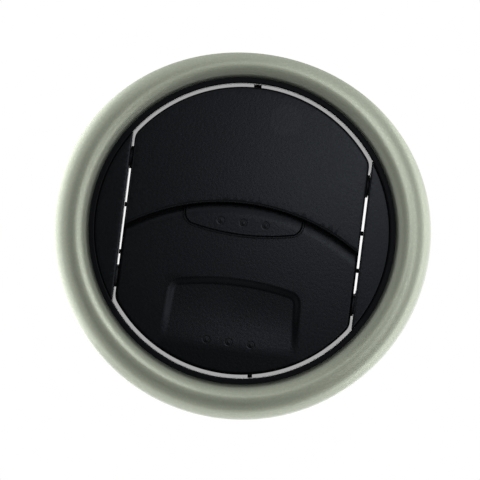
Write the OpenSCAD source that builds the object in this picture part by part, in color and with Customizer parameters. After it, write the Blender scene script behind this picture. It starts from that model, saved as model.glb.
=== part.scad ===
// Round dashboard air vent: a painted bezel, a fixed barrel, and a core that turns in it.
// The core carries two shut-off vanes, one above the other, joined by a link.
// Millimetres. The front faces -Y, up is +Z, and the vent's own axis is Y.
// The origin is the point where that axis meets the dash surface.

/* [Opening] */
// Radius of the round opening in the retaining ring, where the core turns
core_r = 38.95; // [38.5:0.05:41]
// Width of the retaining ring that shows inside the bezel
lip_show = 1.55; // [1.2:0.05:2.5]
// Thickness of the retaining ring
lip_t = 1.6; // [1.2:0.1:2.2]

/* [Bezel] */
// Radius of the small roll between the opening and the crest
inner_roll = 2.9; // [2.4:0.1:3.6]
// Radius of the large roll between the crest and the rim
outer_roll = 6.6; // [6.2:0.1:9]
// Wall of the rolled shell
shell_t = 2; // [1.4:0.1:2.4]
// Wall of the sleeve that passes through the dash
sleeve_wall = 1.2; // [1:0.1:2]
// Length of the sleeve behind the dash surface
sleeve_depth = 17; // [16.5:0.5:19]
// Angle between the vent's face and the dash surface, in degrees
dash_lean = 6.7; // [3:0.1:7.2]

/* [Barrel] */
// Wall of the barrel
barrel_wall = 1.6; // [1.2:0.1:2.4]
// Length of the barrel behind the dash surface
barrel_depth = 36; // [34:1:60]
// Width of the upright rib across the barrel's rear end, at its top
upright_rib_t = 2.1; // [1.2:0.1:3]
// Width of the same rib at its foot
upright_rib_foot = 1.2; // [0.8:0.1:3]
// Width of each level rib
level_rib_t = 1.2; // [0.8:0.1:2]
// Depth of the ribs along the axis
rib_depth = 4; // [2:0.5:6]

/* [Dash fixing] */
// Thickness of the dash panel that the clips hold
panel_t = 3; // [2:0.1:4]
// Width of each spring clip
clip_w = 8; // [5:0.5:10]
// Thickness of the clip's strip
clip_t = 0.6; // [0.4:0.05:0.8]
// Thickness of the felt pads round the sleeve
felt_t = 0.8; // [0.5:0.1:1.2]
// Height of the foam seal above the barrel
seal_h = 4; // [3:0.5:6]
// Width of the foam seal along the axis
seal_w = 4; // [3:0.5:6]

/* [Core] */
// Wall of the ring that turns in the barrel
ring_wall = 1.85; // [1.6:0.05:2.4]
// Width of that ring along the axis
ring_w = 6; // [5.8:0.1:8]
// Depth of a cheek, from the opening's edge to its straight side
cheek_w = 7.2; // [7.2:0.05:8]
// Thickness of a cheek's face
cheek_t = 1.2; // [1:0.1:1.4]
// Radius of the shallow dome that the faces follow
dome_r = 400; // [340:10:600]
// Height of the dome's middle above the retaining ring
dome_rise = 1.8; // [1.5:0.1:2.2]

/* [Vanes] */
// Thickness of a vane's plate
vane_t = 1.6; // [1.3:0.1:1.8]
// Gap between a vane's round edge and the opening
rim_gap = 0.9; // [0.8:0.05:2.5]
// Gap between the upper vane's side and a cheek
upper_side_gap = 0.6; // [0.5:0.05:1.5]
// Gap between the lower vane's side and a cheek
lower_side_gap = 0.5; // [0.4:0.05:1.5]
// Height of the upper pivots above the axis, and of the lower ones below it
pivot_rise = 15.8; // [15:0.1:16.2]
// Height of the seam between the vanes, at the middle
seam_top = 7.2; // [5:0.1:9]
// Radius of the seam's arc
seam_r = 55.8; // [50:0.1:75]
// How far the lower vane reaches up behind the upper one
overlap = 2.2; // [1.5:0.1:3]

/* [Grips] */
// Half the width of the grip pad under the seam
pad_half = 16.2; // [12:0.1:20]
// Height of the pad's lowest point, measured from the axis
pad_low = -1.7; // [-4:0.1:0]
// Height of the pad above the vane
pad_rise = 0.5; // [0.3:0.1:0.8]
// Half the width of the thumb pocket at its top
pocket_half = 17.9; // [14:0.1:20]
// Height of the pocket's upper edge, measured from the axis
pocket_top = -12.5; // [-15:0.1:-10]
// Depth of the pocket at its upper edge
pocket_depth = 1.6; // [1:0.1:1.8]
// Distance between two grip dots
dot_pitch = 5.9; // [4:0.1:8]
// Radius of the ball that each dot is the top of
dot_r = 1.1; // [0.8:0.1:1.4]

/* [Linkage] */
// Radius of the pivot pins
pin_r = 1.4; // [1.1:0.05:1.5]
// Wall of the bush round each pin
bush_wall = 0.75; // [0.5:0.05:0.9]
// Distance from a pivot to its crank pin
crank_r = 3.4; // [3.3:0.05:3.5]
// Radius of the crank pins
crank_pin_r = 0.9; // [0.7:0.05:1]
// Thickness of a crank
crank_t = 0.9; // [0.7:0.05:1]
// Thickness of the link
link_t = 0.7; // [0.5:0.05:0.8]

/* [Clearances] */
// Gap round the turning ring and round the core
turn_gap = 0.3; // [0.25:0.05:0.5]
// Gap between faces that slide on each other
slide_gap = 0.1; // [0.05:0.05:0.15]
// Radial gap of a pin in its bush
pin_gap = 0.05; // [0.03:0.01:0.08]
// Gap between the bezel's sleeve and the barrel
sleeve_gap = 0.2; // [0.1:0.05:0.3]
// Gap between the two vanes where they overlap
vane_gap = 0.3; // [0.25:0.05:0.6]

/* [Hidden] */
$fn = 96;
round_fn = 240;
far = 120;

// Radii, from the opening outwards
aperture_r = core_r + lip_show;
crest_r = aperture_r + inner_roll;
bezel_r = crest_r + outer_roll;
ring_in = core_r + slide_gap;
ring_out = ring_in + ring_wall;
bore_r = ring_out + turn_gap;
barrel_r = bore_r + barrel_wall;
sleeve_in = barrel_r + sleeve_gap;
sleeve_out = sleeve_in + sleeve_wall;
cheek_r = core_r - turn_gap;
vane_r = core_r - rim_gap;

// Depths along the axis, from the front backwards
crest_y = -outer_roll;
roll_y = crest_y + inner_roll;
lip_y = roll_y + slide_gap;
seat_y = lip_y + lip_t;
ring_y = seat_y + slide_gap;
ring_end = ring_y + ring_w;
web_t = 1.2;
web_y = ring_end - web_t;
upper_y = lip_y - dome_rise;
lower_y = upper_y + vane_t + vane_gap;
pivot_y = ring_y + 2 * pin_r;
rib_inset = 2;
rib_y = barrel_depth - rib_depth - rib_inset;
seal_y = sleeve_depth + 2;
spigot_r = bore_r + barrel_wall / 2;
spigot_y = seal_y + seal_w + 0.5;

// Widths across the core
cheek_x = core_r - cheek_w;
upper_half = cheek_x - upper_side_gap;
lower_half = cheek_x - lower_side_gap;
crank_x = cheek_x + slide_gap / 2;
link_x = crank_x + crank_t + slide_gap;
bracket_t = 1.2;
drive_bracket_x = link_x + link_t + turn_gap;
idle_bracket_x = cheek_x + slide_gap / 2;
pin_reach = 8;
pin_root_x = cheek_x - pin_reach;
bush_r = pin_r + pin_gap + bush_wall;

// The dash surface leans about the X axis; this is its depth at height z
function dash_y(z) = -z * tan(dash_lean);
// How far the dome falls back at radius r
function sag(r) = dome_r - sqrt(dome_r * dome_r - r * r);

// A section with radius along x and depth along y, turned round the vent's axis
module turned(sweep = 360) {
    rotate([-90, 0, 0])
        rotate_extrude(angle = sweep, $fn = round_fn)
            children();
}

// A plain ring between two radii and two depths
module ring(r0, r1, y0, y1) {
    turned()
        translate([r0, y0])
            square([r1 - r0, y1 - y0]);
}

// An outline in x and z, as thick as the depths y0 to y1
module slab(y0, y1) {
    translate([0, y1, 0])
        rotate([90, 0, 0])
            linear_extrude(y1 - y0)
                children();
}

// An outline in y and z, as thick as x0 to x1
module side_slab(x0, x1) {
    translate([x0, 0, 0])
        rotate([90, 0, 90])
            linear_extrude(x1 - x0)
                children();
}

// A round bar along x
module rod(r, x0, x1, y, z) {
    translate([x0, y, z])
        rotate([0, 90, 0])
            cylinder(r = r, h = x1 - x0);
}

// A domed sheet whose middle lies at depth y, t thick along the axis
module dome(y, t) {
    turned()
        intersection() {
            difference() {
                translate([0, y + dome_r])
                    circle(dome_r, $fn = 1440);
                translate([0, y + t + dome_r])
                    circle(dome_r, $fn = 1440);
            }
            translate([0, y - 1])
                square([core_r + 1, sag(core_r + 1) + t + 2]);
        }
}

// Everything behind the leaning dash surface, moved back by gap
module behind_dash(gap = 0) {
    rotate([dash_lean, 0, 0])
        translate([-far, gap, -far])
            cube(2 * far);
}

// Bezel

module shell_section() {
    skirt = bezel_r * tan(dash_lean) + 1;
    difference() {
        union() {
            intersection() {
                translate([crest_r, 0])
                    circle(outer_roll);
                translate([crest_r, -outer_roll - 1])
                    square(outer_roll + 1);
            }
            translate([crest_r, 0])
                square([outer_roll, skirt]);
        }
        translate([crest_r, 0])
            circle(outer_roll - shell_t);
        translate([crest_r - 1, 0])
            square([outer_roll - shell_t + 1, skirt + 1]);
    }
    intersection() {
        translate([crest_r, roll_y])
            circle(inner_roll);
        translate([aperture_r - 1, crest_y - 1])
            square(inner_roll + 1);
    }
    translate([aperture_r, roll_y])
        square([sleeve_out - aperture_r, slide_gap]);
    translate([crest_r, crest_y + shell_t / 2])
        square([sleeve_out - crest_r, lip_y - crest_y - shell_t / 2]);
}

module bezel() color([0.62, 0.65, 0.58]) {
    difference() {
        turned()
            shell_section();
        difference() {
            behind_dash();
            ring(0, sleeve_out - sleeve_wall / 2, -far, far);
        }
    }
}

// The sleeve that carries the bezel: it passes through the dash and holds the clips and the barrel

hook_w = 7;
hook_l = 2.4;
hook_h = sleeve_gap + 0.8 * sleeve_wall;
hook_y = sleeve_depth - 6.5;
window_gap = 0.25;

module sleeve_windows() {
    for (a = [0 : 90 : 270])
        rotate([0, a, 0])
            translate([barrel_r, hook_y - window_gap, -hook_w / 2 - window_gap])
                cube([sleeve_wall + 2, hook_l + window_gap + slide_gap, hook_w + 2 * window_gap]);
}

// Places of the four spring clips: turned to each diagonal and moved with the dash surface
module clip_places() {
    for (a = [45 : 90 : 315])
        translate([0, dash_y(sleeve_out * sin(a)), 0])
            rotate([0, -a, 0])
                children();
}

stake_r = 1.2;
stake_back = 5;
stake_y = panel_t + stake_back;
stake_head_r = 1.9;
stake_head_t = 0.6;

module clip_stakes() {
    clip_places()
        translate([sleeve_out - sleeve_wall / 2, stake_y, 0])
            rotate([0, 90, 0])
                union() {
                    cylinder(r = stake_r, h = sleeve_wall / 2 + clip_t + slide_gap + 0.1);
                    translate([0, 0, sleeve_wall / 2 + clip_t + slide_gap])
                        cylinder(r = stake_head_r, h = stake_head_t);
                }
}

module carrier() color([0.06, 0.06, 0.065]) {
    difference() {
        union() {
            ring(sleeve_in, sleeve_out, lip_y, sleeve_depth);
            clip_stakes();
        }
        sleeve_windows();
    }
}

// Fixed parts inside the sleeve and round it

lip_edge = 0.4;

module retaining_ring() color([0.05, 0.05, 0.055]) {
    turned()
        union() {
            translate([core_r + lip_edge, lip_y])
                square([barrel_r - core_r - lip_edge, lip_t]);
            translate([core_r, lip_y + lip_edge])
                square([lip_edge * 2, lip_t - lip_edge]);
            translate([core_r + lip_edge, lip_y + lip_edge])
                circle(lip_edge);
        }
}

// Ribs across the rear: height or offset of each from the axis, and its turn in degrees
upright_rib_x = 3.2;
upright_rib_turn = 5.5;
level_rib_z = [3.4, -8.2];
level_rib_turn = [0, 2.4];

module rib_outline() {
    intersection() {
        circle(bore_r + barrel_wall / 2, $fn = round_fn);
        union() {
            translate([upright_rib_x, 0])
                rotate(upright_rib_turn)
                    polygon([
                        [-upright_rib_foot / 2, -barrel_r],
                        [upright_rib_foot / 2, -barrel_r],
                        [upright_rib_t / 2, barrel_r],
                        [-upright_rib_t / 2, barrel_r]
                    ]);
            for (i = [0 : 1])
                translate([0, level_rib_z[i]])
                    rotate(level_rib_turn[i])
                        square([2 * barrel_r, level_rib_t], center = true);
        }
    }
}

stop_h = 1.3;
stop_w = 1.3;
stop_sweep = 12;
lead_in = barrel_wall / 4;

module barrel() color([0.06, 0.06, 0.065]) {
    turned()
        polygon([
            [bore_r, seat_y],
            [barrel_r, seat_y],
            [barrel_r, spigot_y],
            [spigot_r, spigot_y],
            [spigot_r, barrel_depth - lead_in],
            [spigot_r - lead_in, barrel_depth],
            [bore_r, barrel_depth]
        ]);
    for (a = [0 : 60 : 300])
        rotate([0, a, 0])
            turned(stop_sweep)
                translate([bore_r - stop_h, ring_end + slide_gap])
                    square([stop_h + barrel_wall / 2, stop_w]);
    slab(rib_y, rib_y + rib_depth)
        rib_outline();
    for (a = [0 : 90 : 270])
        rotate([0, a, 0])
            translate([0, 0, -hook_w / 2])
                linear_extrude(hook_w)
                    polygon([
                        [barrel_r - barrel_wall / 2, hook_y],
                        [barrel_r + sleeve_gap / 2, hook_y],
                        [barrel_r + hook_h, hook_y + hook_l],
                        [barrel_r - barrel_wall / 2, hook_y + hook_l]
                    ]);
}

module duct_seal() color([0.2, 0.2, 0.2]) {
    ring(barrel_r, barrel_r + seal_h, seal_y, seal_y + seal_w);
}

// A straight stretch of bent strip with round ends
module strip(p, q, t) {
    run = q - p;
    translate(p)
        rotate(atan2(run[1], run[0]))
            union() {
                translate([0, -t / 2])
                    square([norm(run), t]);
                circle(t / 2);
                translate([norm(run), 0])
                    circle(t / 2);
            }
}

clip_start = 1;
clip_reach = 8;
clip_bend = 1;
clip_spread = 3.6;
clip_knee = 3.4;
clip_tip_out = 2;
clip_tip = 0.4;

module dash_clips() color([0.72, 0.73, 0.75]) {
    foot = sleeve_out + clip_t / 2;
    path = [
        [foot, clip_start],
        [foot, panel_t + clip_reach],
        [foot + clip_bend, panel_t + clip_reach + clip_bend],
        [foot + clip_spread, panel_t + clip_knee],
        [foot + clip_tip_out, panel_t + clip_tip]
    ];
    clip_places()
        difference() {
            translate([0, 0, -clip_w / 2])
                linear_extrude(clip_w)
                    for (i = [0 : len(path) - 2])
                        strip(path[i], path[i + 1], clip_t);
            translate([sleeve_out - 1, stake_y, 0])
                rotate([0, 90, 0])
                    cylinder(r = stake_r + slide_gap, h = clip_t + 1.2);
            translate([sleeve_out + clip_t + 0.2, stake_y, 0])
                rotate([0, 90, 0])
                    cylinder(r = stake_head_r + 0.4, h = 2 * clip_spread);
        }
}

felt_sweep = 50;

module felt_pads() color([0.12, 0.12, 0.12]) {
    intersection() {
        for (a = [0 : 90 : 270])
            rotate([0, a - felt_sweep / 2, 0])
                rotate([-90, 0, 0])
                    rotate_extrude(angle = felt_sweep, $fn = round_fn)
                        translate([sleeve_out, -outer_roll])
                            square([felt_t, 2 * outer_roll + panel_t + 4]);
        difference() {
            behind_dash(0.3);
            behind_dash(panel_t + 0.3);
        }
    }
}

// Turning core

groove_depth = 0.9;
groove_y = ring_y + 1.8;
groove_w = 2.4;
peg_r = 1;
peg_inset = 2.2;
peg_x = cheek_r - peg_inset;
peg_z = 7;
rim_t = 1.1;
rim_half = 12.5;

// The web that closes the ring behind one cheek, and the bracket that carries two pivots
module bracket(inner_x) {
    intersection() {
        union() {
            slab(web_y, ring_end)
                translate([inner_x, -core_r])
                    square([core_r, 2 * core_r]);
            side_slab(inner_x, inner_x + bracket_t)
                translate([ring_y, -core_r])
                    square([ring_w, 2 * core_r]);
        }
        ring(0, ring_in + ring_wall / 3, ring_y - 1, ring_end + 1);
    }
}

module rotor() color([0.07, 0.07, 0.075]) {
    difference() {
        union() {
            ring(ring_in, ring_out, ring_y, ring_end);
            bracket(drive_bracket_x);
            mirror([1, 0, 0])
                bracket(idle_bracket_x);
        }
        ring(ring_out - groove_depth, ring_out + 1, groove_y, groove_y + groove_w);
        for (z = [-pivot_rise, pivot_rise])
            rod(bush_r, -far, far, pivot_y, z);
        for (x = [-peg_x, peg_x])
            for (z = [-peg_z, peg_z])
                translate([x, ring_y, z])
                    rotate([-90, 0, 0])
                        cylinder(r = peg_r + slide_gap, h = ring_w + 1);
    }
}

module friction_ring() color([0.3, 0.3, 0.3]) {
    ring(ring_out - groove_depth, bore_r - slide_gap, groove_y, groove_y + groove_w);
}

module cheek() {
    face_y = upper_y + sag(cheek_r) + cheek_t / 2;
    intersection() {
        dome(upper_y, cheek_t);
        slab(-far, far)
            intersection() {
                circle(cheek_r, $fn = round_fn);
                translate([cheek_x, -core_r])
                    square(2 * core_r);
            }
    }
    intersection() {
        ring(cheek_r - rim_t, cheek_r, face_y, web_y);
        translate([0, -far, -rim_half])
            cube([far, 2 * far, 2 * rim_half]);
    }
    for (z = [-peg_z, peg_z])
        translate([peg_x, face_y, z])
            rotate([-90, 0, 0])
                cylinder(r = peg_r, h = ring_end + 1 - face_y);
}

module right_cheek() color([0.09, 0.09, 0.1]) {
    cheek();
}

module left_cheek() color([0.09, 0.09, 0.1]) {
    mirror([1, 0, 0])
        cheek();
}

module pivot_bush(x0, z) {
    difference() {
        rod(bush_r, x0, x0 + bracket_t, pivot_y, z);
        rod(pin_r + pin_gap, x0 - 1, x0 + bracket_t + 1, pivot_y, z);
    }
}

module pivot_bushes() color([0.8, 0.8, 0.78]) {
    for (z = [-pivot_rise, pivot_rise]) {
        pivot_bush(drive_bracket_x, z);
        pivot_bush(-idle_bracket_x - bracket_t, z);
    }
}

// Vanes

boss_r = 2.5;
boss_web_t = 2.4;
boss_reach = 1.5;
flat_cut = 0.4;
corner_cut = 0.35;

// A pin's section with the flat that turns the vane and its crank together
module drive_section(gap = 0) {
    intersection() {
        circle(pin_r + gap);
        translate([-far, -far])
            square([far + pin_r - flat_cut + gap, 2 * far]);
    }
}

module seam_disc(extra) {
    translate([0, seam_top - seam_r])
        circle(seam_r + extra, $fn = round_fn);
}

// A round disc with two straight sides and its corners cut off, as both vanes have
module vane_band(half) {
    corner_turn = acos(half / vane_r) / 2;
    difference() {
        intersection() {
            circle(vane_r, $fn = round_fn);
            translate([-half, -core_r])
                square([2 * half, 2 * core_r]);
        }
        for (turn = [-corner_turn, corner_turn, 180 - corner_turn, 180 + corner_turn])
            rotate(turn)
                translate([vane_r * cos(corner_turn) - corner_cut, -core_r])
                    square(2 * core_r);
    }
}

module upper_outline() {
    difference() {
        vane_band(upper_half);
        seam_disc(0);
    }
}

module lower_outline() {
    intersection() {
        vane_band(lower_half);
        seam_disc(overlap);
    }
}

// Two bosses on a vane's back, and the bars that join them to the plate
module pivot_bosses(half, z, plate_y) {
    for (s = [-1, 1]) {
        x0 = s < 0 ? -half : pin_root_x - boss_reach;
        x1 = s < 0 ? -pin_root_x + boss_reach : half;
        rod(boss_r, x0, x1, pivot_y, z);
        translate([x0, plate_y, z - boss_web_t / 2])
            cube([x1 - x0, pivot_y - plate_y, boss_web_t]);
    }
}

module pin_holes(z) {
    side_slab(pin_root_x, far)
        translate([pivot_y, z])
            drive_section();
    rod(pin_r, -far, -pin_root_x, pivot_y, z);
}

rib_x = 10;
back_rib_t = 1;
back_rib_h = 1.3;

// Upright stiffening ribs on a vane's back, which follow its dome
module back_ribs(y, z0, z1) {
    intersection() {
        dome(y + vane_t / 2, vane_t / 2 + back_rib_h);
        slab(-far, far)
            for (x = [-rib_x, rib_x])
                translate([x - back_rib_t / 2, z0])
                    square([back_rib_t, z1 - z0]);
    }
}

module upper_vane() color([0.09, 0.09, 0.1]) {
    difference() {
        union() {
            intersection() {
                dome(upper_y, vane_t);
                slab(-far, far)
                    upper_outline();
            }
            pivot_bosses(upper_half, pivot_rise, upper_y + sag(upper_half) + vane_t / 2);
            back_ribs(upper_y, seam_top + overlap + 2, vane_r - 6);
        }
        pin_holes(pivot_rise);
    }
}

pad_corner = 4;
pad_end_rise = 1.2;
pad_seam_gap = 0.2;
pad_bow_r = 62;
pad_line_w = 0.35;
pad_line_in = 0.5;

// The grip pad: a boat shape whose upper side lies under the upper vane
module pad_outline(in = 0) {
    r = pad_corner - in;
    corner_x = pad_half - pad_corner;
    corner_z = pad_low + pad_corner + pad_end_rise;
    intersection() {
        translate([0, pad_low + pad_bow_r])
            circle(pad_bow_r - in, $fn = round_fn);
        union() {
            translate([-corner_x, -core_r])
                square([2 * corner_x, 2 * core_r]);
            translate([-corner_x - r, corner_z])
                square([2 * (corner_x + r), core_r]);
            for (x = [-corner_x, corner_x])
                translate([x, corner_z])
                    circle(r);
        }
        seam_disc(-pad_seam_gap);
    }
}

module pad_line() {
    difference() {
        pad_outline(pad_line_in);
        pad_outline(pad_line_in + pad_line_w);
    }
}

pocket_corner = 4;
pocket_shoulder = 1.4;
pocket_flare = 1.3;
pocket_bow_r = 70;
pocket_low = -32;

// The thumb pocket: bowed upper edge, round upper corners, sides that spread downwards
module pocket_outline(out = 0) {
    r = pocket_corner + out;
    corner_x = pocket_half - pocket_corner;
    corner_z = pocket_top - pocket_corner - pocket_shoulder;
    intersection() {
        translate([0, pocket_top - pocket_bow_r])
            circle(pocket_bow_r + out, $fn = round_fn);
        union() {
            translate([-corner_x, corner_z])
                square([2 * corner_x, core_r]);
            polygon([
                [-corner_x - r, corner_z],
                [corner_x + r, corner_z],
                [corner_x + r + pocket_flare, -core_r],
                [-corner_x - r - pocket_flare, -core_r]
            ]);
            for (x = [-corner_x, corner_x])
                translate([x, corner_z])
                    circle(r);
        }
    }
}

// The pocket's space: its floor is deepest at the top and meets the face at the bottom
module pocket_cut() {
    top_y = lower_y + sag(pocket_top) + pocket_depth;
    low_y = lower_y + sag(pocket_low);
    lean = atan2(top_y - low_y, pocket_top - pocket_low);
    intersection() {
        slab(-far, top_y + 5)
            pocket_outline();
        translate([0, top_y, pocket_top])
            rotate([lean, 0, 0])
                translate([-far, -far, -far])
                    cube([2 * far, far, 2 * far]);
    }
}

pad_dot_z = 2.1;
pocket_dot_z = -29.6;
dot_sink = 0.7;
pocket_back = 1.3;
pocket_margin = 1.2;
pocket_dot_rise = 0.2;

module dots(y, z) {
    for (i = [-1 : 1])
        translate([i * dot_pitch, y + dot_r * dot_sink, z])
            sphere(dot_r, $fn = 48);
}

module lower_vane() color([0.09, 0.09, 0.1]) {
    difference() {
        union() {
            intersection() {
                dome(lower_y, vane_t);
                slab(-far, far)
                    lower_outline();
            }
            intersection() {
                dome(lower_y + vane_t / 2, vane_t / 2 + pocket_back);
                slab(-far, far)
                    intersection() {
                        pocket_outline(pocket_margin);
                        circle(vane_r - 1, $fn = round_fn);
                    }
            }
            intersection() {
                dome(lower_y - pad_rise, pad_rise + vane_t / 2);
                slab(-far, far)
                    pad_outline();
            }
            pivot_bosses(lower_half, -pivot_rise, lower_y + sag(lower_half) + vane_t / 2);
            back_ribs(lower_y, pocket_top + 2, seam_top - 1);
            dots(lower_y - pad_rise + sag(pad_dot_z), pad_dot_z);
        }
        pocket_cut();
        intersection() {
            dome(lower_y - pad_rise - 1, pad_rise + 1);
            slab(-far, far)
                pad_line();
        }
        pin_holes(-pivot_rise);
    }
    dots(lower_y + sag(pocket_dot_z) + pocket_dot_rise, pocket_dot_z);
}

// Pins, washers and linkage of a vane that pivots at height z

module drive_pin(z) {
    side_slab(pin_root_x, link_x - slide_gap)
        translate([pivot_y, z])
            drive_section();
    rod(pin_r, link_x - slide_gap, drive_bracket_x + bracket_t, pivot_y, z);
}

module idle_pin(z) {
    rod(pin_r, -idle_bracket_x - bracket_t, -pin_root_x, pivot_y, z);
}

washer_r = 3;

module washers(half, z) {
    for (s = [-1, 1]) {
        x0 = s < 0 ? -cheek_x : half;
        x1 = s < 0 ? -half : cheek_x;
        difference() {
            rod(washer_r, x0, x1, pivot_y, z);
            rod(pin_r, x0 - 1, x1 + 1, pivot_y, z);
        }
    }
}

crank_turn = 40;
crank_dy = crank_r * cos(crank_turn);
crank_dz = crank_r * sin(crank_turn);
crank_end_r = 1.6;

module crank(z) {
    difference() {
        union() {
            side_slab(crank_x, crank_x + crank_t)
                translate([pivot_y, z])
                    union() {
                        circle(boss_r);
                        rotate(crank_turn)
                            translate([0, -crank_end_r])
                                square([crank_r, 2 * crank_end_r]);
                        translate([crank_dy, crank_dz])
                            circle(crank_end_r);
                    }
            rod(crank_pin_r, crank_x + crank_t / 2, link_x + link_t, pivot_y + crank_dy, z + crank_dz);
        }
        side_slab(crank_x - 1, crank_x + crank_t + 1)
            translate([pivot_y, z])
                drive_section();
    }
}

link_bar_w = 1.6;
open_gap = 0.25;

module link_rod() color([0.75, 0.75, 0.72]) {
    y = pivot_y + crank_dy;
    low_z = crank_dz - pivot_rise;
    top_z = crank_dz + pivot_rise;
    side_slab(link_x, link_x + link_t)
        difference() {
            union() {
                for (z = [low_z, top_z])
                    translate([y, z])
                        circle(crank_end_r);
                translate([y - link_bar_w / 2, low_z])
                    square([link_bar_w, top_z - low_z]);
            }
            translate([y, low_z])
                circle(crank_pin_r + pin_gap);
            translate([y, top_z])
                circle(crank_pin_r + open_gap);
        }
}

module upper_drive_pin() color([0.7, 0.71, 0.73]) drive_pin(pivot_rise);
module lower_drive_pin() color([0.7, 0.71, 0.73]) drive_pin(-pivot_rise);
module upper_idle_pin() color([0.7, 0.71, 0.73]) idle_pin(pivot_rise);
module lower_idle_pin() color([0.7, 0.71, 0.73]) idle_pin(-pivot_rise);
module upper_washers() color([0.1, 0.1, 0.1]) washers(upper_half, pivot_rise);
module lower_washers() color([0.1, 0.1, 0.1]) washers(lower_half, -pivot_rise);
module upper_crank() color([0.75, 0.75, 0.72]) crank(pivot_rise);
module lower_crank() color([0.75, 0.75, 0.72]) crank(-pivot_rise);

bezel();
carrier();
retaining_ring();
barrel();
duct_seal();
dash_clips();
felt_pads();
rotor();
friction_ring();
left_cheek();
right_cheek();
pivot_bushes();
upper_vane();
upper_drive_pin();
upper_idle_pin();
upper_washers();
upper_crank();
lower_vane();
lower_drive_pin();
lower_idle_pin();
lower_washers();
lower_crank();
link_rod();
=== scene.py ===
"""Looks for a round dashboard air vent, laid out as a Blender add-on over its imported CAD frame."""

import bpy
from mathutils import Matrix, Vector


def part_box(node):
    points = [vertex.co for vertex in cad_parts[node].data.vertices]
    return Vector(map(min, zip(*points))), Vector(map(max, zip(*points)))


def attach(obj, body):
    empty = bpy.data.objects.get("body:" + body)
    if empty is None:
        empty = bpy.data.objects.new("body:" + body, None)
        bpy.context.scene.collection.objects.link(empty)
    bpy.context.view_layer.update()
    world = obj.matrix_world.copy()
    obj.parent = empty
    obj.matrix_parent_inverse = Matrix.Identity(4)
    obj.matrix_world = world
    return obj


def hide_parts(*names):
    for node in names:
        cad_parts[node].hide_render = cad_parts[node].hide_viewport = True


bl_info = {
    "name": "Round dashboard air vent",
    "version": (1, 0, 0),
    "blender": (4, 5, 0),
    "location": "View3D > Sidebar > Air vent",
    "description": "Builds and finishes the visible pieces of a round dashboard air vent",
    "category": "Object",
}

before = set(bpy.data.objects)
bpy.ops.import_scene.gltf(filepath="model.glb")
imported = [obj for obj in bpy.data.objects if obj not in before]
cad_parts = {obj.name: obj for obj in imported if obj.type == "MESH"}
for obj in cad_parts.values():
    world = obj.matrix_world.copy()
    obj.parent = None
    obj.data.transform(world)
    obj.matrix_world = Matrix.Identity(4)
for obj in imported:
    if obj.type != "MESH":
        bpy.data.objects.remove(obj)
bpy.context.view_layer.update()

import math

import bmesh
import bpy
import numpy as np
from bpy.props import FloatProperty, FloatVectorProperty, PointerProperty
from mathutils import Matrix, Vector
from mathutils.geometry import delaunay_2d_cdt

MM = 0.001
TURN = 2 * math.pi


def length(name, description, mm):
    """A length property, given in millimetres and kept in metres."""
    return FloatProperty(name=name, description=description, default=mm * MM, unit="LENGTH", precision=5)


def colour(name, description, rgb):
    return FloatVectorProperty(
        name=name, description=description, default=rgb, size=3, min=0, max=1, subtype="COLOR"
    )


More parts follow.
